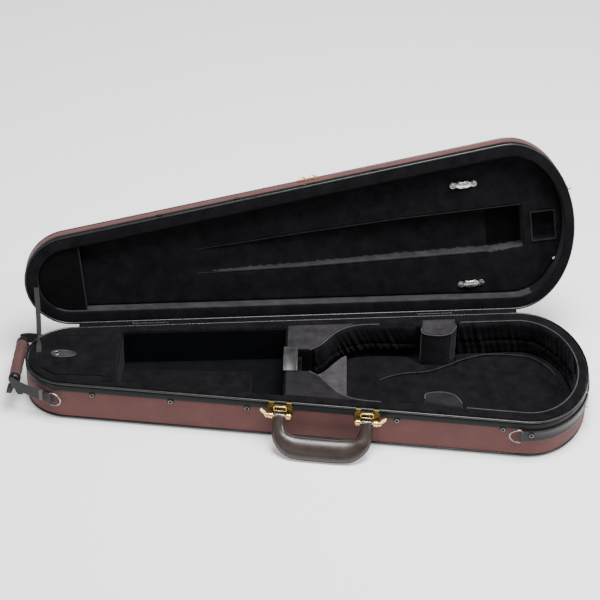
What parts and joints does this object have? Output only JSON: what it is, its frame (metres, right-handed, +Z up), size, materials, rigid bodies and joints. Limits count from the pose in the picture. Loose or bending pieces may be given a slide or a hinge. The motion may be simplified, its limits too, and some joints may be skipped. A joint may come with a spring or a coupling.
{
  "type": "violin case",
  "caption": "Shaped violin case, lid open on a stay: fitted velvet interior, accessory box, bow holders, padded handle, end grip and strap rings.",
  "frame": {"origin": "centre of the case's flat underside, half way along its length", "axes": "+X along the case towards the wide end, +Y towards the hinges, +Z up from the face it lies on"},
  "size_m": [0.8109, 0.383, 0.3062],
  "materials": {
    "burgundy_fabric": "woven",
    "black_trim": "satin",
    "black_velvet": "pile",
    "blue_lining": "smooth",
    "foam_shell": "foam",
    "brown_leather": "padded",
    "grey_leather": "smooth",
    "black_webbing": "woven",
    "brass": "polished",
    "nickel": "polished"
  },
  "bodies": {
    "base": {"base_shell": "foam_shell", "base_bottom_cover": "burgundy_fabric", "base_bottom_piping": "black_trim", "base_side_cover": "burgundy_fabric", "base_rim_band": "black_trim", "base_rim_piping": "black_trim", "base_liner": "black_velvet", "divider_board": "black_velvet", "compartment_lining": "blue_lining", "compartment_floor_pad": "black_velvet", "neck_cradle": "black_velvet", "heel_pad": "black_velvet", "cavity_floor": "black_velvet", "waist_block_back": "black_velvet", "waist_block_front": "black_velvet", "suspension_back": "black_velvet", "suspension_front": "black_velvet", "suspension_lower": "black_velvet", "handle_bracket_left": "brass", "handle_bracket_right": "brass", "handle_pin_left": "brass", "handle_pin_right": "brass", "big_end_strap": "black_webbing", "ring_loop_left": "black_webbing", "ring_loop_right": "black_webbing", "hinge_1_base_leaf": "nickel", "hinge_2_base_leaf": "nickel", "hinge_1_pin": "nickel", "hinge_2_pin": "nickel", "stay_ribbon": "black_webbing"},
    "lid": {"lid_shell": "foam_shell", "lid_top_cover": "burgundy_fabric", "lid_top_piping": "black_trim", "lid_side_cover": "burgundy_fabric", "lid_rim_band": "black_trim", "lid_rim_piping": "black_trim", "lid_liner": "black_velvet", "lid_pad": "black_velvet", "bow_tip_pocket": "black_velvet", "spinner_plate_1": "nickel", "spinner_plate_2": "nickel", "hinge_1_lid_leaf": "nickel", "hinge_2_lid_leaf": "nickel", "lid_ring_plate": "brass"},
    "bow_spinner_1": {"bow_spinner_1": "nickel"},
    "bow_spinner_2": {"bow_spinner_2": "nickel"},
    "accessory_lid": {"accessory_lid": "black_velvet", "box_pull_tab": "grey_leather", "box_tab_snap": "nickel"},
    "neck_strap": {"neck_strap": "grey_leather"},
    "carry_handle": {"carry_handle": "brown_leather", "handle_loop_left": "brass", "handle_loop_right": "brass"},
    "latch_lever_left": {"latch_lever_left": "brass"},
    "latch_lever_right": {"latch_lever_right": "brass"},
    "end_grip": {"grip_roll": "burgundy_fabric", "grip_webbing_back": "black_webbing", "grip_webbing_front": "black_webbing"},
    "d_ring_left": {"d_ring_left": "nickel"},
    "d_ring_right": {"d_ring_right": "nickel"}
  },
  "joints": [
    {"name": "lid_hinge", "type": "hinge", "parent": "base", "child": "lid", "pos_m": [-0.02127, 0.0972, 0.0622], "axis": [0.9956, 0.094, 0], "range_deg": [0, 105], "deforming": ["stay_ribbon"]},
    {"name": "bow_spinner_1_turn", "type": "hinge", "parent": "lid", "child": "bow_spinner_1", "pos_m": [0.2175, 0.18727, 0.23898], "axis": [0.0908, -0.9617, 0.2588], "range_deg": [-90, 90]},
    {"name": "bow_spinner_2_turn", "type": "hinge", "parent": "lid", "child": "bow_spinner_2", "pos_m": [0.23584, 0.1498, 0.09333], "axis": [0.0908, -0.9617, 0.2588], "range_deg": [-90, 90]},
    {"name": "accessory_lid_hinge", "type": "hinge", "parent": "base", "child": "accessory_lid", "pos_m": [-0.2813, 0, 0.0621], "axis": [0, -1, 0], "range_deg": [-110, 0]},
    {"name": "neck_strap_hinge", "type": "hinge", "parent": "base", "child": "neck_strap", "pos_m": [-0.0225, 0.027, 0.0634], "axis": [1, 0, 0], "range_deg": [-150, 0]},
    {"name": "handle_pivot", "type": "hinge", "parent": "base", "child": "carry_handle", "pos_m": [0.0246, -0.10866, 0.0445], "axis": [-0.9956, 0.094, 0], "range_deg": [-42, 112]},
    {"name": "latch_left_turn", "type": "hinge", "parent": "base", "child": "latch_lever_left", "pos_m": [-0.05241, -0.10139, 0.0445], "axis": [-0.9956, 0.094, 0], "range_deg": [-60, 0]},
    {"name": "latch_right_turn", "type": "hinge", "parent": "base", "child": "latch_lever_right", "pos_m": [0.10161, -0.11592, 0.0445], "axis": [-0.9956, 0.094, 0], "range_deg": [-60, 0]},
    {"name": "end_grip_swing", "type": "hinge", "parent": "base", "child": "end_grip", "pos_m": [-0.364, 0, 0.038], "axis": [0, 1, 0], "range_deg": [-38, 6]},
    {"name": "d_ring_left_swing", "type": "hinge", "parent": "base", "child": "d_ring_left", "pos_m": [-0.35362, -0.06544, 0.035], "axis": [0, 0, -1], "range_deg": [0, 150]},
    {"name": "d_ring_right_swing", "type": "hinge", "parent": "base", "child": "d_ring_right", "pos_m": [0.29372, -0.12913, 0.0394], "axis": [0, 0, 1], "range_deg": [0, 150]}
  ]
}
